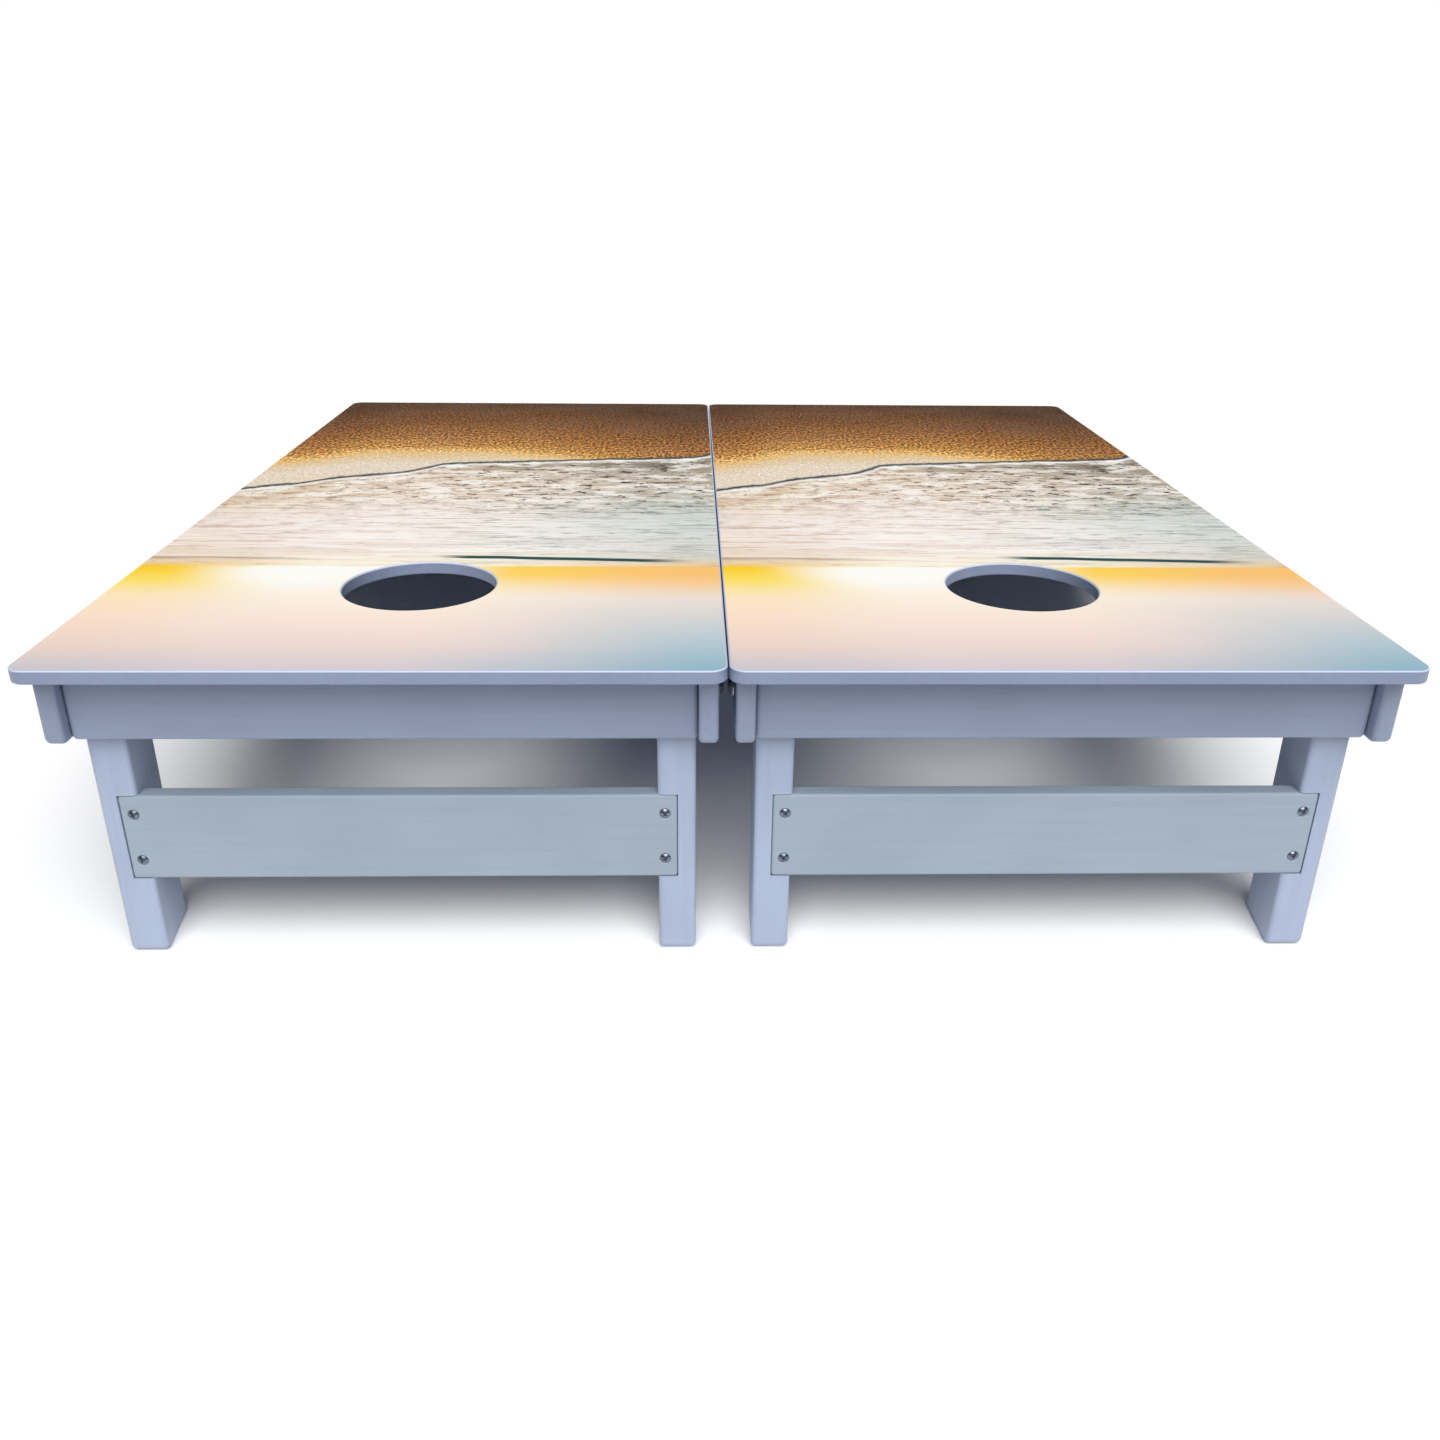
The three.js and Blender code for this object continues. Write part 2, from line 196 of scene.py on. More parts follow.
# %% Rounded outlines
def rounded_outline(corners, steps=8):
    """Points and outward normals, anticlockwise. A corner (s, t, radius) becomes an arc about the point
    that lies radius / sin(half its angle) along the corner's bisector."""
    points, normals = [], []
    for i, (s, t, radius) in enumerate(corners):
        corner = np.array([s, t])
        back = np.array(corners[i - 1][:2]) - corner
        ahead = np.array(corners[(i + 1) % len(corners)][:2]) - corner
        back, ahead = back / np.linalg.norm(back), ahead / np.linalg.norm(ahead)
        half = math.acos(back @ ahead) / 2
        bisector = (back + ahead) / np.linalg.norm(back + ahead)
        first = math.atan2(back[0], -back[1])
        angle = first + np.linspace(0, math.pi - 2 * half, steps + 1)
        out = np.stack([np.cos(angle), np.sin(angle)], axis=1)
        points.append(corner + bisector * radius / math.sin(half) + radius * out)
        normals.append(out)
    return np.concatenate(points), np.concatenate(normals)


def rectangle(s0, t0, s1, t1, radius):
    """A rectangle between two opposite corners, rounded."""
    return rounded_outline([(s0, t0, radius), (s1, t0, radius), (s1, t1, radius), (s0, t1, radius)])


# %% Edges rounded over
def rounded_levels(thickness, edge, steps=6):
    """Inset and height of each level through a board: a quarter circle at each face, where the inset is
    edge (1 - sin a) at height edge (1 - cos a)."""
    a = np.linspace(0, math.pi / 2, steps + 1)
    inset, height = edge * (1 - np.sin(a)), edge * (1 - np.cos(a))
    return np.concatenate([inset, inset[::-1]]), np.concatenate([height, thickness - height[::-1]])


def grid_faces(rows, columns, ring=False):
    """Quads of a grid that closes round its columns, and for a ring round its rows too."""
    row = np.arange(rows if ring else rows - 1)[:, None]
    column = np.arange(columns)[None]
    after_row, after = (row + 1) % rows, (column + 1) % columns
    corners = np.broadcast_arrays(row * columns + column, row * columns + after,
                                  after_row * columns + after, after_row * columns + column)
    return np.stack([corner.ravel() for corner in corners], axis=1).tolist()


AXES = {"x": [2, 0, 1], "y": [1, 2, 0], "z": [0, 1, 2]}  # outline s, t and thickness sorted to x, y, z


def milled(outline, across, start, thickness, edge):
    """A board cut to an outline: each level is the outline drawn in along its normals. `across` is the
    axis of its thickness, and the outline is drawn in the next two axes in turn."""
    points, normals = outline
    inset, height = rounded_levels(thickness, edge)
    flat = points[None] - inset[:, None, None] * normals[None]
    rows, columns = flat.shape[:2]
    depth = np.broadcast_to((start + height)[:, None, None], (rows, columns, 1))
    verts = np.concatenate([flat, depth], axis=2).reshape(-1, 3)[:, AXES[across]]
    bottom = list(range(columns))[::-1]
    top = list(range((rows - 1) * columns, rows * columns))
    return verts, grid_faces(rows, columns) + [bottom, top]


# %% A sheet with a round hole
CORNER_SIGNS = np.array([(-1, -1), (1, -1), (1, 1), (-1, 1)])


def holed_sheet(rim, hole, start, thickness, edge, turns=288):
    """A deck-shaped sheet drawn in by `rim`, with a hole. Its section is a closed ring: outer edge up,
    top face in, hole wall down. A ray from the hole's centre leaves through the nearer side, or in a
    corner at b + sqrt(b b - c), where b is the ray times the arc's centre and c is that centre's
    distance squared less the radius squared."""
    middle = np.array([0, DECK_LENGTH / 2 - HOLE_FROM_END])
    half = np.array([DECK_WIDTH / 2 - rim, DECK_LENGTH / 2 - rim])
    radius = DECK_CORNER - rim
    arc = np.linspace(0, math.pi / 2, 13)
    quarter = np.stack([np.cos(arc), np.sin(arc)], axis=1)
    centres = middle + CORNER_SIGNS * (half - radius)
    marks = (centres[:, None] + radius * CORNER_SIGNS[:, None] * quarter[None]).reshape(-1, 2)
    theta = np.unique(np.concatenate([np.linspace(-math.pi, math.pi, turns, endpoint=False),
                                      np.arctan2(marks[:, 1], marks[:, 0])]).round(9))
    ray = np.stack([np.cos(theta), np.sin(theta)], axis=1)
    reach = (half + np.sign(ray) * middle) / np.maximum(np.abs(ray), 1e-9)
    side = reach.argmin(axis=1)
    points = ray * reach.min(axis=1)[:, None]
    normals = np.sign(ray) * np.stack([side == 0, side == 1], axis=1)
    for sign, centre in zip(CORNER_SIGNS, centres):
        beyond = ((points - centre) * sign > 0).all(axis=1)[:, None]
        along = ray @ centre
        root = np.sqrt(np.maximum(along**2 - centre @ centre + radius**2, 0))
        bend = ray * (along + root)[:, None]
        points = np.where(beyond, bend, points)
        normals = np.where(beyond, (bend - centre) / radius, normals)
    inset, height = rounded_levels(thickness, edge)
    outer = points[None] - inset[:, None, None] * normals[None]
    inner = ray[None] * (hole + inset[::-1, None, None])
    flat = np.concatenate([outer, inner]) + [0, HOLE_FROM_END]
    level = start + np.concatenate([height, height[::-1]])
    depth = np.broadcast_to(level[:, None, None], flat.shape[:2] + (1,))
    verts = np.concatenate([flat, depth], axis=2).reshape(-1, 3)
    return verts, grid_faces(len(level), len(theta), ring=True)


# %% Turned pieces
def turned(profile, sides, reshape=None, ring=False):
    """A profile of (distance along x, radius), listed towards +x, swept round the x axis. `reshape` may
    change the distances and radii by angle, for a hexagon, a thread or a driver's recess."""
    profile = np.asarray(profile, float)
    angle = np.linspace(0, 2 * math.pi, sides, endpoint=False)
    along, radius, turn = np.broadcast_arrays(profile[:, :1], profile[:, 1:], angle[None])
    if reshape:
        along, radius = reshape(along, radius, turn)
    verts = np.stack([along, radius * np.cos(turn), radius * np.sin(turn)], axis=2).reshape(-1, 3)
    faces = grid_faces(len(profile), sides, ring)
    if not ring:
        last = (len(profile) - 1) * sides
        faces += [list(range(sides))[::-1], list(range(last, last + sides))]
    return verts, faces


def facing_back(surface, place):
    """Turns a piece on the x axis to face the hole end (-y), then moves it to its place."""
    verts, faces = surface
    return verts @ np.array([[0, -1, 0], [1, 0, 0], [0, 0, 1]]) + place, faces


def moved(surface, place):
    """Every point plus the same offset."""
    return surface[0] + np.asarray(place), surface[1]


def on_side(surface, side):
    """The right-hand shape, or for side -1 its mirror image with every face turned round."""
    verts, faces = surface
    return (verts, faces) if side > 0 else (verts * [-1, 1, 1], [face[::-1] for face in faces])


def joined(surfaces):
    """Several surfaces as one list of points and faces."""
    starts = np.cumsum([0] + [len(verts) for verts, _ in surfaces])
    faces = [[int(start) + i for i in face] for start, (_, fs) in zip(starts, surfaces) for face in fs]
    return np.concatenate([verts for verts, _ in surfaces]), faces


# %% [markdown]
# ## From a surface to a finished piece
# A surface becomes a mesh while it is still in the deck frame, so holes are cut there too. The points
# are then kept as an attribute named `grain`, with the direction of the wood's grain first, before the
# piece moves to its place on the board. A pattern read from that attribute stays on the wood wherever
# the piece lies, and each piece is given its own stretch of wood.

# %% Meshes
def new_mesh(name, surface):
    mesh = bpy.data.meshes.new(name)
    mesh.from_pydata(surface[0].tolist(), [], surface[1])
    mesh.validate()
    return mesh


def points_of(mesh):
    """A mesh's points as an array with a row for each."""
    points = np.empty(len(mesh.vertices) * 3)
    mesh.vertices.foreach_get("co", points)
    return points.reshape(-1, 3)


def mesh_object(name, mesh):
    obj = bpy.data.objects.new(name, mesh)
    bpy.context.scene.collection.objects.link(obj)
    return obj


def carved(name, surface, *cutters):
    """The surface less each cutter in turn, by exact booleans, as a plain mesh."""
    blank = mesh_object(name, new_mesh(name, surface))
    for cutter in cutters:
        tool = mesh_object("cutter", new_mesh("cutter", cutter))
        cut = blank.modifiers.new("cut", "BOOLEAN")
        cut.operation, cut.solver, cut.object = "DIFFERENCE", "EXACT", tool
        depsgraph = bpy.context.evaluated_depsgraph_get()
        depsgraph.update()
        result = bpy.data.meshes.new_from_object(blank.evaluated_get(depsgraph))
        blank.modifiers.clear()
        blank.data = result
        bpy.data.objects.remove(tool)
    mesh = blank.data
    bpy.data.objects.remove(blank)
    return mesh


# %% Pieces in place
SHARP = math.radians(35)  # faces meeting at more than this keep a crisp edge
GRAIN_AXES = {"x": [0, 1, 2], "y": [1, 0, 2], "z": [2, 1, 0]}  # along the grain, then across it
STOCK_SIZE = 9  # metres of wood that the pieces are cut from
wood_stock = random.Random(24)
SIDES = (("left", -1), ("right", 1))
placed = {}


def put(part, mesh, body, material, grain="x"):
    """Copies a mesh to each board as the piece that stands for its named part of the model."""
    for board in BOARDS:
        obj = mesh_object(f"{part}_of_{board}", mesh.copy())
        points = points_of(obj.data)
        stock = [wood_stock.uniform(0, STOCK_SIZE) for _ in range(3)]
        wood = obj.data.attributes.new("grain", "FLOAT_VECTOR", "POINT")
        wood.data.foreach_set("vector", (points[:, GRAIN_AXES[grain]] + stock).ravel())
        obj.data.vertices.foreach_set("co", to_model(points, board).ravel())
        obj.data.polygons.foreach_set("use_smooth", np.ones(len(obj.data.polygons), bool))
        obj.data.set_sharp_from_angle(angle=SHARP)
        obj.data.materials.clear()
        obj.data.materials.append(material)
        obj.data.update()
        even = obj.modifiers.new("flat faces lead", "WEIGHTED_NORMAL")
        even.keep_sharp, even.weight = True, 100
        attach(obj, board + body)
        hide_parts(f"{board}_{part}")
        placed[obj.name] = len(obj.data.polygons)


def fit_report(part):
    """Prints how far a piece's box is from the box of the part that it stands for."""
    for board in BOARDS:
        obj = bpy.data.objects[f"{part}_of_{board}"]
        low, high = (np.array(corner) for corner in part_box(f"{board}_{part}"))
        points = points_of(obj.data)
        off = max(np.abs(points.min(axis=0) - low).max(), np.abs(points.max(axis=0) - high).max())
        print(f"{obj.name}: {len(obj.data.polygons)} faces, box within {off / MM:.2f} mm")


# %% [markdown]
# ## Node helpers
# The finishes are node trees. These few helpers keep each one readable: a value or a socket may be
# given wherever a node takes an input.

# %% Short names for nodes
class Finish:
    """A material with a Principled shader, and its nodes made by short calls."""

    def __init__(self, name, **sockets):
        self.material = bpy.data.materials.new(name)
        self.material.use_nodes = True
        self.nodes, self.links = self.material.node_tree.nodes, self.material.node_tree.links
        self.shader = self.nodes["Principled BSDF"]
        for socket, value in sockets.items():
            self.feed(self.shader.inputs[socket.replace("_", " ")], value)

    def feed(self, socket, value):
        if isinstance(value, bpy.types.NodeSocket):
            self.links.new(value, socket)
        else:
            socket.default_value = value

    def node(self, kind, out=0, inputs=(), **settings):
        node = self.nodes.new("ShaderNode" + kind)
        for key, value in settings.items():
            setattr(node, key, value)
        for key, value in dict(inputs).items():
            self.feed(node.inputs[key], value)
        return node.outputs[out]

    def math(self, operation, a, b=0.0):
        return self.node("Math", inputs={0: a, 1: b}, operation=operation)

    def plus(self, a, b):
        return self.math("ADD", a, b)

    def less(self, a, b):
        return self.math("SUBTRACT", a, b)

    def times(self, a, b):
        return self.math("MULTIPLY", a, b)

    def mix(self, share, a, b, blend="MIX"):
        """a where share is 0, b where it is 1."""
        return self.node("Mix", out=2, inputs={0: share, 6: a, 7: b}, data_type="RGBA", blend_type=blend)

    def scaled(self, vector, scale):
        return self.node("Mapping", inputs={"Vector": vector, "Scale": scale})

    def noise(self, vector, scale, detail=3.0, roughness=0.5):
        return self.node("TexNoise", inputs={"Vector": vector, "Scale": scale, "Detail": detail,
                                             "Roughness": roughness})

    def between(self, value, low, high, out_low=0.0, out_high=1.0):
        """A smooth step from out_low at low to out_high at high."""
        return self.node("MapRange", inputs={0: value, 1: low, 2: high, 3: out_low, 4: out_high},
                         interpolation_type="SMOOTHSTEP")

    def ramp(self, value, stops):
        """A colour ramp; each stop is (position, colour)."""
        node = self.nodes.new("ShaderNodeValToRGB")
        self.feed(node.inputs[0], value)
        elements = node.color_ramp.elements
        while len(elements) < len(stops):
            elements.new(0.5)
        for element, (position, colour) in zip(elements, stops):
            element.position, element.color = position, colour
        return node.outputs[0]

    def bump(self, height, distance, strength=1.0):
        """`distance` is how high a height of 1 stands, in metres."""
        return self.node("Bump", inputs={"Height": height, "Distance": distance, "Strength": strength})


def srgb(red, green, blue):
    """A display colour, 0 to 255, as the linear colour that the shader takes."""
    share = np.array([red, green, blue]) / 255
    linear = np.where(share <= 0.04045, share / 12.92, ((share + 0.055) / 1.055) ** 2.4)
    return (*linear.tolist(), 1.0)


# %% [markdown]
# ## Painted wood
# The frame is softwood under a cool pale grey satin paint. Paint this thin lets the grain telegraph
# through as long, faint ridges, the roller leaves a fine stipple over them, and the film is never quite
# even. All three are noises on the piece's own `grain` coordinates: one stretched along the grain, one
# fine and round, one large and soft. The same paint is mixed in four tints, which are lit and shaded
# copies of one colour: the deck and rail tints are darkened as painted shade, the rail's for the shade
# under the deck's overhang, the leg tint is lighter and bluer as painted cool light, and the crossbar
# tint sits between them.

# %% Paint
def tinted(colour, share):
    """A colour with its red, green and blue all scaled by `share`."""
    return tuple(min(share * channel, 1.0) for channel in colour[:3]) + (1.0,)


def painted_wood(name, colour, relief, rim_highlight_colour=None):
    """Paint whose height is 0.8 ridges + 0.2 stipple - 0.25 pores, darker in the hollows, and paler up a rim
    as a painted highlight.
    """
    paint = Finish(name, IOR=1.47)
    wood = paint.node("Attribute", out=1, attribute_name="grain")
    ridges = paint.noise(paint.scaled(wood, (6, 150, 150)), 1.0, 4.0, 0.6)
    stipple = paint.noise(wood, 620, 2.0)
    uneven = paint.noise(wood, 7, 3.0)
    pores = paint.between(paint.noise(paint.scaled(wood, (25, 420, 420)), 1.0, 2.0), 0.62, 0.75)
    film = paint.mix(paint.between(uneven, 0.35, 0.65), tinted(colour, 0.96), tinted(colour, 1.04))
    film = paint.mix(paint.between(ridges, 0.3, 0.62, 0.22, 0.0), film, tinted(colour, 0.80))
    film = paint.mix(paint.times(pores, 0.15), film, tinted(colour, 0.72))
    # A painted highlight: the paint turns paler up the rounded rim, where the light catches it.
    if rim_highlight_colour:
        rim = paint.node("Attribute", out=2, attribute_name="rim")
        film = paint.mix(paint.between(rim, 0.05, 0.60, 0.0, 0.85), film, rim_highlight_colour)
    height = paint.plus(paint.times(ridges, 0.8), paint.times(stipple, 0.20))
    height = paint.less(height, paint.times(pores, 0.25))
    paint.feed(paint.shader.inputs["Base Color"], film)
    gloss = paint.plus(paint.between(uneven, 0.3, 0.7, 0.36, 0.48), paint.times(stipple, 0.06))
    paint.feed(paint.shader.inputs["Roughness"], gloss)
    paint.feed(paint.shader.inputs["Normal"], paint.bump(height, relief))
    print(name, "paint mixed from", [round(channel, 3) for channel in colour[:3]])
    return paint.material


PLYWOOD_RELIEF, SOFTWOOD_RELIEF = 0.00008, 0.00012  # metres of grain under the paint
# A painted highlight: the pale colour the deck's rounded rims take where the light catches them.
PAINTED_RIM_HIGHLIGHT = srgb(206, 214, 238)
# Four lit and shaded tints of one paint: deck and rail darkened as painted shade, the rail's for the shade
# under the deck's overhang, legs lighter and bluer as painted cool light.
deck_paint = painted_wood("deck_paint", srgb(134, 146, 172), PLYWOOD_RELIEF, PAINTED_RIM_HIGHLIGHT)
rail_paint = painted_wood("rail_paint", srgb(141, 153, 177), SOFTWOOD_RELIEF)
leg_paint = painted_wood("leg_paint", srgb(166, 179, 203), SOFTWOOD_RELIEF)
crossbar_paint = painted_wood("crossbar_paint", srgb(155, 168, 182), SOFTWOOD_RELIEF)

# %% [markdown]
# ## Zinc-plated steel
# Screws and bolts have a bright, slightly blue plating, and the screws' copy of it is darkened as
# painted shade, for how dark the heads look sunk in their countersinks. It is dull where the plating is
# thick and scuffed by the driver, so fine scratches and soft patches vary how sharp its reflections are.

# %% Zinc
SCRATCH_DEPTH = 0.00002  # metres


def zinc_plate(name, colour, roughness):
    """Plating that is darker and duller where a cloudy noise is high, with fine scratches."""
    zinc = Finish(name, Metallic=1.0)
    place = zinc.node("TexCoord", out=3)
    cloudy = zinc.noise(place, 260, 4.0, 0.6)
    scratches = zinc.noise(zinc.scaled(place, (5200, 900, 5200)), 1.0, 2.0)
    plating = zinc.mix(zinc.between(cloudy, 0.35, 0.7), colour, tinted(colour, 0.72))
    zinc.feed(zinc.shader.inputs["Base Color"], plating)
    zinc.feed(zinc.shader.inputs["Roughness"],
              zinc.between(cloudy, 0.3, 0.7, roughness - 0.06, roughness + 0.12))
    zinc.feed(zinc.shader.inputs["Normal"], zinc.bump(scratches, SCRATCH_DEPTH, 0.6))
    return zinc.material


# The screws' plating is darkened as painted shade; the bolts' keeps the bright zinc.
zinc_screw = zinc_plate("zinc_screw", srgb(128, 138, 154), 0.30)
zinc_bolt = zinc_plate("zinc_bolt", srgb(205, 208, 214), 0.34)

# %% [markdown]
# ## The decks
# A deck is 12.7 mm plywood with a rounded rim and a rounded hole edge, painted all over. A polar grid
# round the hole's centre gives both rims in one closed surface, with no boolean to leave slivers. The
# attribute `rim` rises from 0 at the foot of the rounded rim to 1 at its top, where a painted highlight
# makes the paint palest.

# %% Decks
DECK_TRIM = 0.1 * MM  # the fine curve of the rim stays within the model's box
deck_mesh = new_mesh("deck", holed_sheet(DECK_TRIM, HOLE_RADIUS, -DECK_THICKNESS, DECK_THICKNESS, DECK_EDGE))
# Share of painted highlight on the rounded rims: 0 at the rim's foot, 1 at its top.
rim_highlight_share = deck_mesh.attributes.new("rim", "FLOAT", "POINT")
rim_highlight_share.data.foreach_set("value", np.clip(points_of(deck_mesh)[:, 2] / DECK_EDGE + 1, 0, 1))
put("deck", deck_mesh, "", deck_paint, grain="y")
fit_report("deck")


# %% [markdown]
# ## The printed sheets
# The picture is printed on a thin film laid on the deck, out to where the rim starts to round over. Its
# UV map runs 0 to 1 across the board and 0 to 1 along it from the hole end, so the picture is laid out
# once and both boards share it.

# %% Printed sheet shape
SHEET_LIFT = 0.02 * MM  # glue
SHEET_THICKNESS = 0.4 * MM
SHEET_EDGE = 0.15 * MM
sheet_mesh = new_mesh("printed_sheet", holed_sheet(DECK_EDGE, HOLE_RADIUS + DECK_EDGE, SHEET_LIFT,
                                                   SHEET_THICKNESS, SHEET_EDGE))
flat_uv = sheet_mesh.uv_layers.new(name="UVMap")
face_corners = np.empty(len(sheet_mesh.loops), int)
sheet_mesh.loops.foreach_get("vertex_index", face_corners)
sheet_x, sheet_y = points_of(sheet_mesh)[face_corners, :2].T
sheet_uv = np.stack([sheet_x / DECK_WIDTH + 0.5, sheet_y / DECK_LENGTH], axis=1)
flat_uv.data.foreach_set("uv", sheet_uv.ravel())
print("the sheet is drawn in by", DECK_EDGE / MM, "mm all round")

# %% [markdown]
# ## The picture: a beach at sunrise
# The scene runs from a pale sky at the hole end, over a bright sea with thin wave lines, to a curving
# shoreline and dark wet sand at the low end. It is an ordinary beach built from ramps and noises. First
# come the coordinates: u across and v along, and the same in metres, so that ripples and sand grains
# have real sizes.

# %% Picture coordinates
beach = Finish("printed_beach", IOR=1.45, Specular_IOR_Level=0.12)
uv = beach.node("TexCoord", out=2)
parts = beach.nodes.new("ShaderNodeSeparateXYZ")
beach.links.new(uv, parts.inputs[0])
u, v = parts.outputs[0], parts.outputs[1]
metres = beach.scaled(uv, (DECK_WIDTH, DECK_LENGTH, 1))


def streaks(across, along, detail=3.0, roughness=0.5, offset=(0, 0, 0)):
    """Noise whose features are about `across` metres wide and `along` metres deep."""
    stretched = beach.node("Mapping", inputs={"Vector": metres, "Location": offset,
                                              "Scale": (1 / across, 1 / along, 1)})
    return beach.noise(stretched, 1.0, detail, roughness)


def wobble(size, *noise):
    """Streaks centred on 0: size (noise - 0.5)."""
    return beach.times(beach.less(streaks(*noise), 0.5), size)


def band(value, centre, reach):
    """1 at centre, falling smoothly to 0 at `reach` to either side."""
    away = beach.math("ABSOLUTE", beach.less(value, centre))
    return beach.between(away, 0.0, reach, 1.0, 0.0)


def grey(value):
    return (value, value, value, 1.0)


def along_v(stops, value=None):
    """A ramp of display colours at places along v."""
    return beach.ramp(value or v, [(place, srgb(*colour)) for place, colour in stops])


# %% Sky
HORIZON = 0.238
sky_left = along_v([(0, (202, 200, 208)), (0.05, (238, 214, 203)), (0.11, (252, 225, 204)),
                    (0.16, (255, 232, 192)), (0.20, (254, 226, 100)), (0.236, (255, 208, 12))])
sky_middle = along_v([(0, (212, 206, 212)), (0.05, (240, 219, 212)), (0.10, (250, 230, 217)),
                      (0.15, (254, 241, 224)), (0.20, (255, 249, 238)), (0.238, (255, 254, 246))])
sky_right = along_v([(0, (144, 182, 200)), (0.05, (178, 200, 211)), (0.10, (210, 213, 214)),
                     (0.15, (236, 224, 216)), (0.20, (248, 216, 182)), (0.238, (253, 200, 112))])
u_soft = beach.plus(u, wobble(0.16, 0.22, 0.10, 2.0))
sky = beach.mix(beach.between(u_soft, 0.05, 0.30), sky_left, sky_middle)
sky = beach.mix(beach.between(u_soft, 0.50, 1.0), sky, sky_right)
print("sky down to", round(HORIZON * DECK_LENGTH, 3), "m from the hole end")

# %% Sunrise glow
SUN_U, SUN_V = 0.28, 0.222
SUN_SQUASH = 1.5  # how much wider than high the glow is
from_sun = beach.node("VectorMath", out=1, operation="DISTANCE", inputs={
    0: beach.scaled(metres, (1, SUN_SQUASH, 1)),
    1: (SUN_U * DECK_WIDTH, SUN_SQUASH * SUN_V * DECK_LENGTH, 0)})
far_glow = beach.times(beach.between(u, 0.50, 0.66), beach.between(v, 0.150, 0.225))
yellow = beach.mix(beach.between(u, 0.62, 0.95), srgb(255, 210, 60), srgb(253, 196, 112))
sky = beach.mix(beach.times(far_glow, 0.92), sky, yellow)
sky = beach.mix(beach.between(from_sun, 0.01, 0.12, 1.0, 0.0), sky, srgb(255, 255, 250))
print("sky:", len(beach.nodes), "nodes")

# %% [markdown]
# ## Sea and surf
# Waves seen from low on a beach are thin dark lines that lie across the picture, closer together
# towards the horizon. A noise many times wider than it is deep gives the lines, and a cut-off makes
# them crisp. Foam is the same idea with rounder features, and gathers towards the shore.

# %% Sea
sea_left = along_v([(0.24, (244, 206, 112)), (0.262, (246, 230, 214)), (0.38, (248, 237, 230)),
                    (0.44, (242, 226, 206)), (0.50, (226, 204, 174)), (0.58, (214, 190, 160))])
sea_middle = along_v([(0.24, (255, 246, 224)), (0.30, (254, 248, 244)), (0.42, (252, 244, 236)),
                      (0.48, (250, 238, 224)), (0.56, (238, 222, 204)), (0.64, (200, 184, 162))])
sea_right = along_v([(0.24, (240, 206, 150)), (0.262, (218, 214, 204)), (0.36, (222, 228, 224)),
                     (0.44, (206, 212, 204)), (0.54, (204, 194, 178)), (0.62, (160, 150, 134))])
sea = beach.mix(beach.between(u, 0.02, 0.35), sea_left, sea_middle)
sea = beach.mix(beach.between(u_soft, 0.52, 1.0), sea, sea_right)


def crests(across, along, thinness, offset=(0, 0, 0), detail=3.0):
    """Thin lines where a stretched noise passes through its middle value."""
    away = beach.math("ABSOLUTE", beach.less(streaks(across, along, detail, 0.55, offset), 0.5))
    return beach.between(away, 0.0, thinness, 1.0, 0.0)


wave_tint = beach.mix(beach.between(u_soft, 0.40, 0.75), srgb(190, 142, 102), srgb(96, 124, 126))
far_waves = beach.times(crests(0.34, 0.020, 0.022), beach.between(v, 0.25, 0.32, 0.30, 0.55))
sea = beach.mix(far_waves, sea, wave_tint)
swells = beach.times(beach.between(streaks(0.30, 0.030, 3.0, 0.5, (2, 8, 0)), 0.52, 0.66), 0.30)
sea = beach.mix(swells, sea, beach.mix(0.5, wave_tint, srgb(240, 220, 196)))
print("sea:", len(beach.nodes), "nodes")

# %% Chop
chop = beach.between(streaks(0.030, 0.0070, 3.0, 0.60, (3, 1, 0)), 0.575, 0.615)
chop_rows = beach.between(streaks(0.30, 0.035, 2.0, 0.5, (6, 6, 0)), 0.46, 0.60)
chop_reach = beach.times(beach.between(v, 0.26, 0.46, 0.25, 0.85), beach.between(u, 0.15, 0.75, 0.55, 1.0))
chop = beach.times(beach.times(chop, chop_rows), chop_reach)
chop_tint = beach.mix(beach.between(u_soft, 0.30, 0.70), srgb(150, 108, 76), srgb(84, 104, 102))
sea = beach.mix(chop, sea, chop_tint)
fine_lines = beach.times(crests(0.16, 0.0095, 0.020, (9, 4, 0)), beach.between(v, 0.25, 0.40, 0.25, 0.50))
sea = beach.mix(fine_lines, sea, chop_tint)
print("chop:", len(beach.nodes), "nodes")

# %% Foam
in_foam = beach.between(beach.plus(v, wobble(0.12, 0.12, 0.05)), 0.37, 0.50)
ripples = beach.times(crests(0.075, 0.022, 0.035, (1, 5, 0), 5.0), in_foam)
sea = beach.mix(beach.times(ripples, 0.60), sea, srgb(176, 140, 104))
froth = beach.between(streaks(0.055, 0.024, 5.0, 0.65, (7, 2, 0)), 0.48, 0.58)
sea = beach.mix(beach.times(beach.times(froth, in_foam), 0.75), sea, srgb(255, 250, 242))
dark = beach.between(streaks(0.024, 0.012, 5.0, 0.72, (2, 9, 0)), 0.555, 0.585)
dark = beach.times(beach.times(dark, in_foam), beach.between(u, 0.15, 0.75, 0.70, 1.0))
sea = beach.mix(dark, sea, beach.mix(beach.between(u, 0.25, 0.75), srgb(122, 84, 54), srgb(62, 52, 42)))
print("foam:", len(beach.nodes), "nodes")

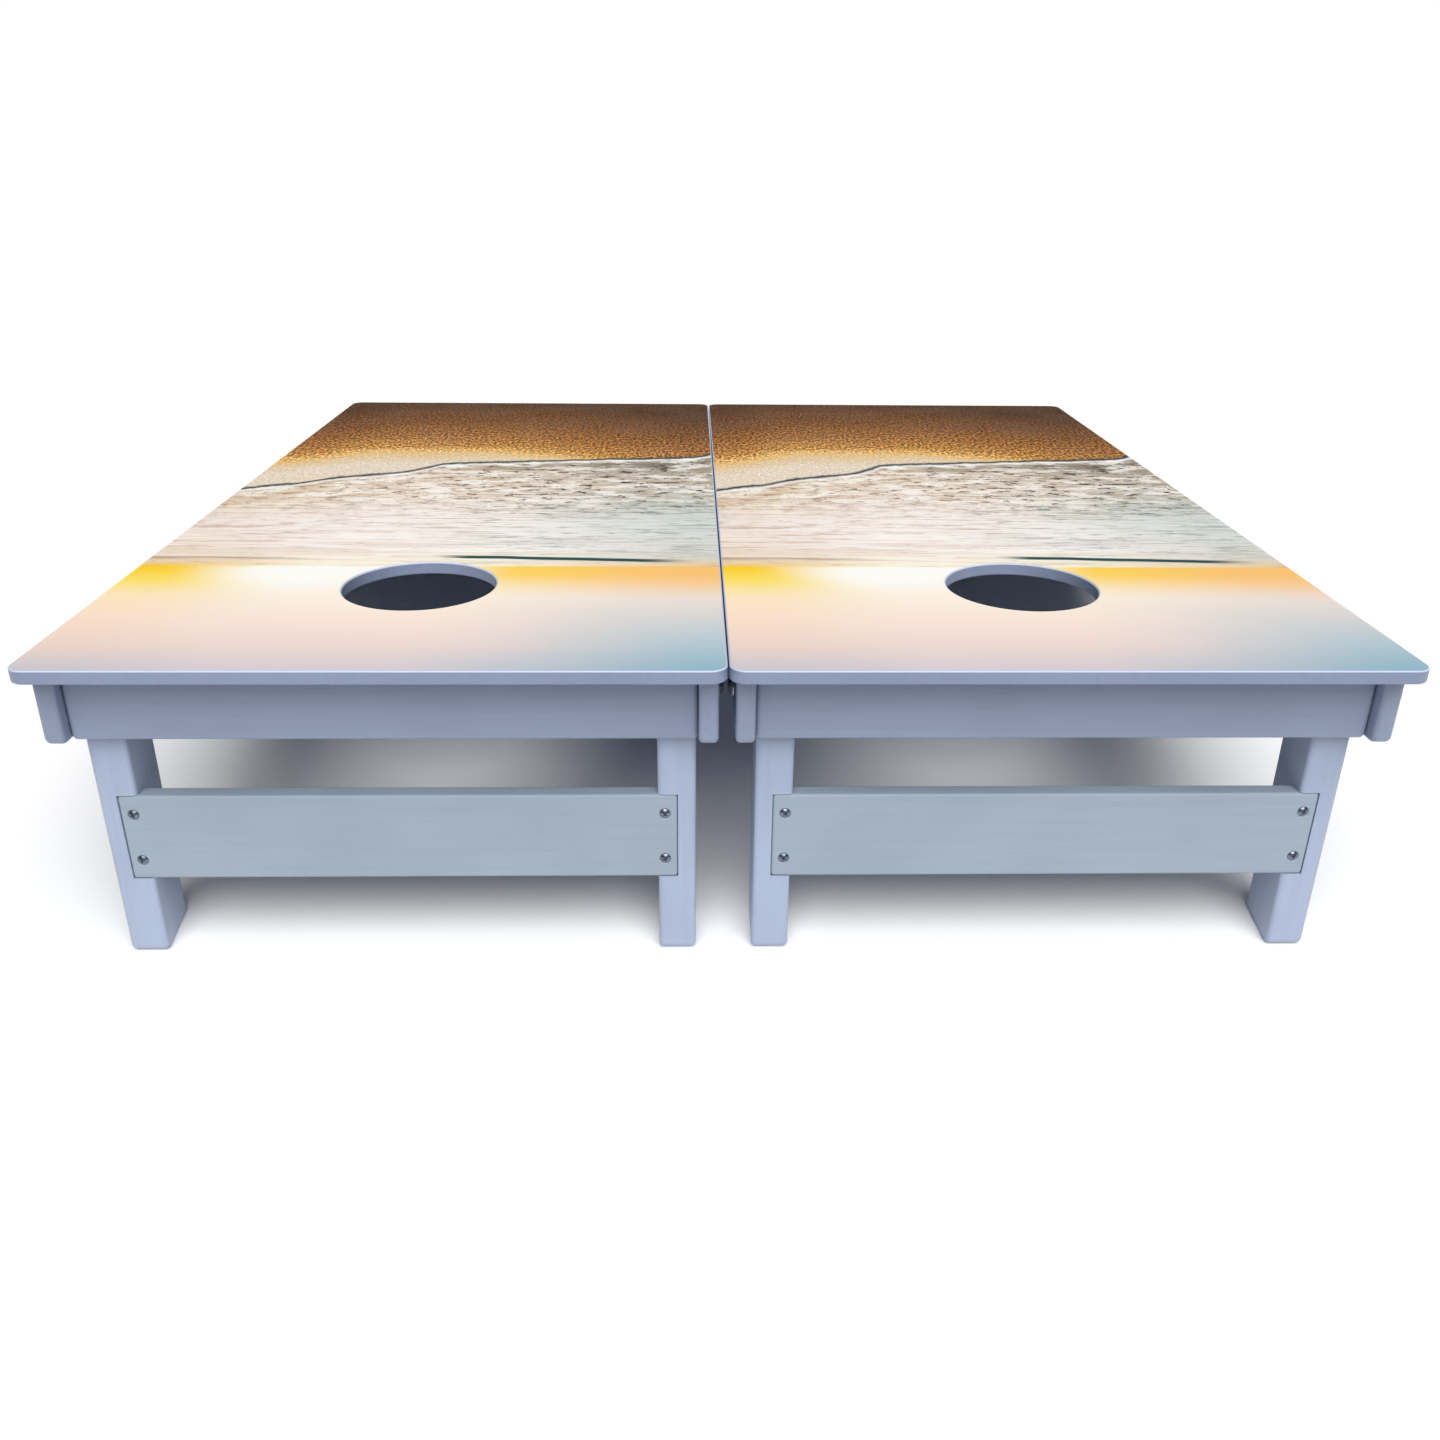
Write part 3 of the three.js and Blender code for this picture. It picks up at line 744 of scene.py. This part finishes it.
# %% Horizon and first swell
swell = beach.times(crests(0.5, 0.03, 0.09, (0, 3, 0)), band(v, 0.262, 0.010))
sea = beach.mix(beach.times(swell, beach.between(u, 0.55, 0.40, 0.0, 0.6)), sea, srgb(150, 104, 70))
fall = beach.times(u, 0.028)
teal_line = band(beach.plus(beach.plus(v, wobble(0.010, 0.16, 0.4, 3.0)), fall), 0.281, 0.0075)
teal_reach = beach.times(beach.between(u, 0.48, 0.56), beach.between(u, 0.97, 0.86))
teal_line = beach.between(teal_line, 0.15, 0.65)
sea = beach.mix(beach.times(teal_line, teal_reach), sea, srgb(34, 76, 78))
picture = beach.mix(beach.between(v, HORIZON - 0.001, HORIZON + 0.002), sky, sea)
print("horizon:", len(beach.nodes), "nodes")

# %% [markdown]
# ## Shore and sand
# The shoreline is a curve v(u) held in a grey ramp, roughened a little by noise. The last wave ends in
# a line of white foam with a thin dark line of shadow under it, and wet sand starts past that. Sand is
# fine grain noise over a ramp that darkens towards the low end and the sides.

# %% Shoreline
SHORE = [(0.0, 0.505), (0.10, 0.525), (0.18, 0.557), (0.305, 0.578), (0.36, 0.605), (0.385, 0.620),
         (0.55, 0.635), (0.95, 0.660), (1.0, 0.675)]
shore_curve = beach.ramp(u, [(place, grey(height)) for place, height in SHORE])
shore_v = beach.plus(shore_curve, wobble(0.026, 0.045, 0.06, 6.0, 0.65, (4, 4, 0)))
past_shore = beach.less(v, shore_v)
trough = beach.times(band(past_shore, -0.032, 0.022), beach.between(u, 0.38, 0.55, 0.0, 0.45))
picture = beach.mix(beach.times(trough, beach.between(froth, 0.0, 1.0, 1.0, 0.25)), picture,
                    srgb(98, 92, 72))
surf = beach.times(band(past_shore, -0.007, 0.013), beach.between(froth, 0.0, 1.0, 0.7, 1.0))
picture = beach.mix(surf, picture, srgb(255, 253, 248))

# %% Sand
dimming = beach.plus(beach.between(u, 0.22, 0.0, 0.0, 0.055), beach.between(u, 0.46, 1.0, 0.0, 0.085))
sand_v = beach.plus(beach.plus(v, dimming), wobble(0.05, 0.22, 0.05, 3.0, 0.55, (8, 3, 0)))
sand = along_v([(0.52, (231, 214, 192)), (0.62, (232, 217, 197)), (0.655, (228, 203, 164)),
                (0.685, (230, 186, 114)), (0.72, (187, 134, 66)), (0.77, (158, 106, 50)),
                (0.87, (119, 74, 32)), (1.0, (80, 49, 20))], sand_v)

# %% Sand grains
grains = streaks(0.0042, 0.0080, 1.5, 0.6, (5, 7, 0))
grainy = beach.between(sand_v, 0.655, 0.73)
dark_side = beach.between(grains, 0.36, 0.50, 0.16, 1.0)
light_side = beach.between(grains, 0.52, 0.64, 0.0, 1.25)
speckle = beach.plus(dark_side, light_side)
speckle = beach.mix(beach.between(grainy, 0.0, 1.0, 0.15, 0.95), grey(1.0), speckle)
sand = beach.mix(1.0, sand, speckle, "MULTIPLY")
picture = beach.mix(beach.between(past_shore, -0.0005, 0.0015), picture, sand)
water_edge = band(past_shore, 0.0012, 0.0088)
picture = beach.mix(water_edge, picture, srgb(30, 52, 60))
print("shore from", SHORE[0][1], "to", SHORE[-1][1], "of the board's length")

# %% [markdown]
# The film over the print is satin: smooth enough to catch the light softly, with a very fine texture
# so that bags slide evenly.

# %% Film over the print
FILM_GRAIN, FILM_RELIEF = 0.0011, 0.00004  # metres
texture = streaks(FILM_GRAIN, FILM_GRAIN, 2.0, 0.6)
beach.feed(beach.shader.inputs["Base Color"], picture)
beach.feed(beach.shader.inputs["Roughness"], beach.between(streaks(0.12, 0.12), 0.3, 0.7, 0.42, 0.52))
beach.feed(beach.shader.inputs["Normal"], beach.bump(texture, FILM_RELIEF, 0.5))
put("printed_sheet", sheet_mesh, "", beach.material, grain="y")
fit_report("printed_sheet")


# %% [markdown]
# ## Screw and bolt holes
# Clearance holes and countersinks are turned cutters, used on every piece that a screw goes through.
# Each cutter runs a little past the face it cuts, so the boolean never has to split two faces that lie
# in the same plane.

# %% Cutters
OVER = 1 * MM
TIP = 0.05 * MM  # radius left at a cutter's or a screw's point
frame_screw_y = {"back": back_rail_y + RAIL_THICKNESS / 2, "front": front_rail_y + RAIL_THICKNESS / 2}
frame_screw_z = {"upper": rail_top - FRAME_SCREW_FROM_EDGE, "lower": rail_bottom + FRAME_SCREW_FROM_EDGE}
crossbar_screw_x = crossbar_half - SCREW_FROM_END
crossbar_screw_z = {"upper": crossbar_top - SCREW_FROM_EDGE, "lower": crossbar_bottom + SCREW_FROM_EDGE}
shank_hole = SCREW_RADIUS + FIT
head_hole = FRAME_SCREW_HEAD_RADIUS + FIT

frame_screw_hole = turned([(-FRAME_SCREW_LENGTH - FIT, shank_hole), (-SCREW_HEAD_DEPTH - FIT, shank_hole),
                           (-2 * FIT, head_hole), (OVER, head_hole)], 40)
frame_screw_holes = joined([moved(frame_screw_hole, (rail_outer_x, y, z))
                            for y in frame_screw_y.values() for z in frame_screw_z.values()])

mouth = COUNTERSINK_RADIUS - SCREW_HEAD_RADIUS - FIT  # depth of the open mouth round the head
countersink = turned([(-SCREW_LENGTH - FIT, shank_hole), (-SCREW_HEAD_DEPTH - mouth, shank_hole),
                      (-mouth, SCREW_HEAD_RADIUS + FIT), (0, COUNTERSINK_RADIUS),
                      (OVER, COUNTERSINK_RADIUS)], 64)
countersinks = joined([facing_back(countersink, (crossbar_screw_x, leg_near_y, z))
                       for z in crossbar_screw_z.values()])


def pivot_drill(x0, x1):
    """A rod along the pivot's axis, a little wider than the bolt."""
    radius = BOLT_RADIUS + FIT
    return moved(turned([(x0 - OVER, radius), (x1 + OVER, radius)], 48), (0, pivot_y, pivot_z))


print("countersinks", 2 * COUNTERSINK_RADIUS / MM, "mm across")

# %% [markdown]
# ## The frame
# Two side rails run the length of the deck. Their lower corners are cut to a round nose, and the low
# ends stand on those noses. The end rails fit between them, set back from their ends, and the centre
# brace halfway along stops the deck from bouncing.

# %% Side rails
ease = RAIL_EDGE + CORNER_EASE
rail_outline = rounded_outline([(END_OVERHANG, rail_bottom, RAIL_NOSE),
                                (DECK_LENGTH - END_OVERHANG, rail_bottom, RAIL_NOSE),
                                (DECK_LENGTH - END_OVERHANG, rail_top, ease),
                                (END_OVERHANG, rail_top, ease)])
rail_blank = milled(rail_outline, "x", rail_inner_x, RAIL_THICKNESS, RAIL_EDGE)
rail_cuts = [pivot_drill(rail_inner_x, rail_outer_x), frame_screw_holes]
for word, side in SIDES:
    rail = carved("rail", on_side(rail_blank, side), *(on_side(cut, side) for cut in rail_cuts))
    put(f"{word}_rail", rail, "", rail_paint, grain="y")
fit_report("left_rail")

# %% End rails and brace
def cross_rail(y, bottom):
    """A rail between the side rails, from the deck down to `bottom`."""
    outline = rectangle(bottom, -end_rail_half, rail_top, end_rail_half, ease)
    return milled(outline, "y", y, RAIL_THICKNESS, RAIL_EDGE)


both_sides = joined([frame_screw_holes, on_side(frame_screw_holes, -1)])
cross_rails = {
    "back_rail": carved("back_rail", cross_rail(back_rail_y, rail_bottom), both_sides),
    "front_rail": carved("front_rail", cross_rail(front_rail_y, rail_bottom), both_sides),
    "centre_brace": new_mesh("brace", cross_rail((DECK_LENGTH - RAIL_THICKNESS) / 2,
                                                 rail_top - BRACE_HEIGHT)),
}
for part, mesh in cross_rails.items():
    put(part, mesh, "", rail_paint)
    fit_report(part)

# %% [markdown]
# ## The folding legs
# Each leg turns on a bolt through the side rail, so its top is rounded about that bolt. Its foot is
# cut to stand flat when the leg bears on the back rail. The crossbar is let into notches in the two
# legs, flush with their faces, and the notch stops short of the leg's outer face.

# %% Legs
def ground_z(y):
    """Height of the ground in the deck frame: (y sin a - back height) / cos a."""
    return (y * sine - BACK_HEIGHT) / cosine


leg_top = pivot_z + LEG_DEPTH / 2
leg_outline = rounded_outline([(leg_near_y, ground_z(leg_near_y), FOOT_CORNER),
                               (leg_far_y, ground_z(leg_far_y), FOOT_CORNER),
                               (leg_far_y, leg_top, LEG_DEPTH / 2),
                               (leg_near_y, leg_top, LEG_DEPTH / 2)], 24)
leg_blank = milled(leg_outline, "x", leg_inner_x, LEG_WIDTH, LEG_EDGE)


def block(low, high):
    """A plain box, used only as a cutter."""
    (x0, y0, z0), (x1, y1, z1) = low, high
    verts = np.array([(x, y, z) for z in (z0, z1) for x, y in ((x0, y0), (x1, y0), (x1, y1), (x0, y1))])
    return verts, [[3, 2, 1, 0], [4, 5, 6, 7]] + [[i, (i + 1) % 4, (i + 1) % 4 + 4, i + 4] for i in range(4)]


notch = block((leg_inner_x - OVER, leg_near_y - OVER, crossbar_bottom - FIT),
              (crossbar_half + FIT, leg_near_y + CROSSBAR_THICKNESS + FIT, crossbar_top + FIT))
leg_cuts = [notch, pivot_drill(leg_inner_x, leg_outer_x), countersinks]
for word, side in SIDES:
    leg = carved("leg", on_side(leg_blank, side), *(on_side(cut, side) for cut in leg_cuts))
    put(f"{word}_leg", leg, "_legs", leg_paint, grain="z")
fit_report("right_leg")

# %% Crossbars
bar_outline = rectangle(crossbar_bottom, -crossbar_half, crossbar_top, crossbar_half,
                        CROSSBAR_EDGE + CORNER_EASE)
bar_blank = milled(bar_outline, "y", leg_near_y, CROSSBAR_THICKNESS, CROSSBAR_EDGE)
crossbar_mesh = carved("crossbar", bar_blank, joined([countersinks, on_side(countersinks, -1)]))
put("crossbar", crossbar_mesh, "_legs", crossbar_paint)
fit_report("crossbar")

# %% [markdown]
# ## Screws
# A wood screw is turned: point, thread, cone and head in one profile. The thread leans with the angle
# round the axis, which makes it a true helix, and the head's top is pressed down where the driver's
# cross fits.

# %% Screw shapes
THREAD_PITCH = 2.4 * MM
THREAD_DEPTH = 0.45 * MM
CROSS_ARM = 2.6 * MM
CROSS_HALF_WIDTH = 0.55 * MM
CROSS_DEPTH = 1.9 * MM
PLAIN_SHARE = 0.35  # of a screw's length, from the head, that has no thread


def helix(along, turn, pitch):
    """0 in the root of a thread and 1 on its crest, at a distance along and an angle round the axis."""
    phase = (along / pitch - turn / (2 * math.pi)) % 1
    return 1 - np.abs(2 * phase - 1)


def soft_step(value, low, high):
    """3 t t - 2 t t t, where t runs from 0 at low to 1 at high."""
    share = np.clip((value - low) / (high - low), 0, 1)
    return share * share * (3 - 2 * share)


def wood_screw(length, rim, head_radius, dome, sides=72):
    """Point at -length, head rim at `rim`, top at `dome`. The crown's height falls with the radius
    squared, and the cross is the nearer of two bars, sunk where a point lies inside it."""
    cone = rim - SCREW_HEAD_DEPTH
    shank = np.linspace(-length + 2 * SCREW_RADIUS, cone, int((length + cone) / (THREAD_PITCH / 7)))
    rings = head_radius * np.linspace(1, 0, 40)[:-1] ** 0.9
    rings[-1] = TIP
    profile = [(-length, TIP), *((x, SCREW_RADIUS) for x in shank), (rim - FIT, head_radius),
               (rim - FIT / 3, head_radius), *((rim + (dome - rim) * (1 - (r / head_radius) ** 2), r)
                                               for r in rings * 0.985)]

    def shape(along, radius, turn):
        on_thread = (along > -length + TIP) & (along < -length * PLAIN_SHARE)
        cut = THREAD_DEPTH * (1 - helix(along, turn, THREAD_PITCH))
        radius = np.where(on_thread, radius - cut, radius)
        s, t = np.abs(radius * np.cos(turn)), np.abs(radius * np.sin(turn))
        taper = CROSS_HALF_WIDTH * (1.25 - 0.5 * np.maximum(s, t) / CROSS_ARM)
        bars = np.minimum(np.maximum(s - CROSS_ARM, t - taper), np.maximum(t - CROSS_ARM, s - taper))
        on_top = along > rim - FIT / 6
        deep = CROSS_DEPTH * (1 - 0.55 * np.hypot(s, t) / CROSS_ARM) * soft_step(-bars, -0.08 * MM, 0.30 * MM)
        return np.where(on_top, along - deep, along), radius

    return turned(profile, sides, shape)


# %% Crossbar screws
crossbar_screw = wood_screw(SCREW_LENGTH, SCREW_HEAD_RADIUS + 2 * FIT - COUNTERSINK_RADIUS,
                            SCREW_HEAD_RADIUS, SCREW_DOME)
for word, side in SIDES:
    for height, z in crossbar_screw_z.items():
        spun = crossbar_screw[0] @ np.array(Matrix.Rotation(wood_stock.uniform(0, 1.5), 3, "X"))
        screw = facing_back((spun, crossbar_screw[1]), (side * crossbar_screw_x, leg_near_y, z))
        mesh = new_mesh("screw", screw)
        put(f"{word}_{height}_crossbar_screw", mesh, "_legs", zinc_screw)
fit_report("right_upper_crossbar_screw")

# %% Frame screws
frame_screw = wood_screw(FRAME_SCREW_LENGTH, 0.0, FRAME_SCREW_HEAD_RADIUS, 0.0, 48)
for word, side in SIDES:
    for end, y in frame_screw_y.items():
        for height, z in frame_screw_z.items():
            mesh = new_mesh("screw", on_side(moved(frame_screw, (rail_outer_x, y, z)), side))
            put(f"{word}_{end}_{height}_frame_screw", mesh, "", zinc_screw)
fit_report("right_back_upper_frame_screw")

# %% [markdown]
# ## Leg pivots
# A carriage bolt has a smooth domed head outside the rail. Its thread runs through the leg to a lock
# nut, whose nylon collar keeps the joint snug while the leg turns. A washer lies on each side of the
# leg so that paint doesn't rub on paint.

# %% Bolts
BOLT_PITCH = 1.5875 * MM  # sixteen threads to the inch
BOLT_THREAD_DEPTH = 0.8 * MM
BOLT_CHAMFER = 0.8 * MM
THREAD_INTO_LEG = 6 * MM
bolt_tail = leg_inner_x - 2 * FIT - WASHER_THICKNESS - NUT_HEIGHT - BOLT_TAIL - rail_outer_x - FIT
thread_end = leg_inner_x + THREAD_INTO_LEG - rail_outer_x
thread_x = np.arange(bolt_tail + BOLT_CHAMFER, thread_end, BOLT_PITCH / 8)
dome_angle = np.linspace(0.12, math.pi / 2, 16)
bolt_profile = [(bolt_tail, BOLT_RADIUS - 1 * MM), (bolt_tail + BOLT_CHAMFER, BOLT_RADIUS - 0.3 * MM),
                *((x, BOLT_RADIUS) for x in thread_x), (0, BOLT_RADIUS),
                (0, BOLT_HEAD_RADIUS - 0.4 * MM), (0.25 * MM, BOLT_HEAD_RADIUS - 0.05 * MM),
                *((BOLT_HEAD_HEIGHT * math.sin(a), (BOLT_HEAD_RADIUS - TIP) * math.cos(a) + TIP)
                  for a in dome_angle)]


def bolt_thread(along, radius, turn):
    """The radius less the thread's depth times how far a point lies from the crest."""
    inside = (along > bolt_tail + 0.5 * MM) & (along < thread_end - TIP)
    cut = BOLT_THREAD_DEPTH * (1 - helix(along, turn, BOLT_PITCH))
    return along, np.where(inside, radius - cut, radius)


pivot_bolt = moved(turned(bolt_profile, 64, bolt_thread), (rail_outer_x + FIT, pivot_y, pivot_z))

# %% Washers and lock nuts
bore = BOLT_RADIUS + FIT
EASED = 0.2 * MM


def washer(x):
    """A stamped washer: a ring section with both outer edges eased."""
    high = WASHER_THICKNESS
    ring = [(0, bore), (0, WASHER_RADIUS - EASED), (EASED, WASHER_RADIUS), (high - EASED, WASHER_RADIUS),
            (high, WASHER_RADIUS - EASED), (high, bore)]
    return moved(turned(ring, 72, ring=True), (x, pivot_y, pivot_z))


NUT_CORNER = NUT_ACROSS_FLATS / math.sqrt(3)
COLLAR = 2.2 * MM  # height of the rolled collar that holds the nylon


def six_sided(along, radius, turn):
    """Flats cut a turned blank to radius (across flats / 2) / cos(angle from the nearest flat)."""
    from_flat = (turn % (math.pi / 3)) - math.pi / 6
    flat = NUT_ACROSS_FLATS / 2 / np.cos(from_flat)
    return along, np.where(along > COLLAR - TIP, np.minimum(radius, flat), radius)


nut_inner_x = leg_inner_x - 2 * FIT - WASHER_THICKNESS - NUT_HEIGHT
collar_radius = NUT_ACROSS_FLATS / 2 - 0.5 * MM
nut_profile = [(0.5 * MM, bore), (0, bore + 0.7 * MM), (0, collar_radius - 0.8 * MM),
               (0.25 * MM, collar_radius - 0.2 * MM), (0.8 * MM, collar_radius), (COLLAR, collar_radius),
               (COLLAR, NUT_CORNER - 1.1 * MM), (COLLAR + 0.25 * MM, NUT_CORNER - 0.65 * MM),
               (COLLAR + 0.6 * MM, NUT_CORNER), (NUT_HEIGHT - 0.6 * MM, NUT_CORNER),
               (NUT_HEIGHT, NUT_CORNER - 1 * MM), (NUT_HEIGHT, bore)]
lock_nut = moved(turned(nut_profile, 96, six_sided, ring=True), (nut_inner_x, pivot_y, pivot_z))

# %% Pivots on both sides
pivot_parts = {
    "pivot_bolt": pivot_bolt,
    "spacer_washer": washer(leg_outer_x + FIT),
    "nut_washer": washer(leg_inner_x - FIT - WASHER_THICKNESS),
    "lock_nut": lock_nut,
}
for part, surface in pivot_parts.items():
    for word, side in SIDES:
        mesh = new_mesh(part, on_side(surface, side))
        put(f"{word}_{part}", mesh, "", zinc_bolt)
    fit_report(f"right_{part}")
print(len(placed), "pieces,", sum(placed.values()), "faces")


# %% [markdown]
# ## Floor and light
# The pair stands on a white studio floor that runs out of view. A broad soft light high behind the
# camera shapes the rounded edges, and a low even light from all round keeps the shadows soft. The plain
# display transform keeps white as white.

# %% Floor
FLOOR_HALF = 15.0
floor = mesh_object("studio_floor", new_mesh("studio_floor", (
    np.array([(-1, -1, 0), (1, -1, 0), (1, 1, 0), (-1, 1, 0)]) * FLOOR_HALF, [[0, 1, 2, 3]])))
floor_finish = Finish("studio_floor", Roughness=0.9, Base_Color=srgb(246, 246, 246))
floor.data.materials.append(floor_finish.material)

# %% Lights
SUN_STRENGTH = 3.7
SUN_HEIGHT = 66  # degrees above the ground
SUN_SIDE = 10  # degrees from straight behind the camera
SUN_SPREAD = 60  # degrees across
ROOM_STRENGTH = 0.06
sun_data = bpy.data.lights.new("soft_key", "SUN")
sun_data.energy = SUN_STRENGTH
sun_data.angle = math.radians(SUN_SPREAD)
sun = bpy.data.objects.new("soft_key", sun_data)
sun.matrix_world = (Matrix.Rotation(math.radians(SUN_SIDE), 4, "Z")
                    @ Matrix.Rotation(math.radians(90 - SUN_HEIGHT), 4, "X"))
bpy.context.scene.collection.objects.link(sun)

world = bpy.data.worlds.new("studio")
world.use_nodes = True
world.node_tree.nodes["Background"].inputs["Color"].default_value = srgb(255, 255, 255)
world.node_tree.nodes["Background"].inputs["Strength"].default_value = ROOM_STRENGTH
bpy.context.scene.world = world
bpy.context.scene.view_settings.view_transform = "Standard"
print("key light", SUN_STRENGTH, "at", SUN_HEIGHT, "degrees")
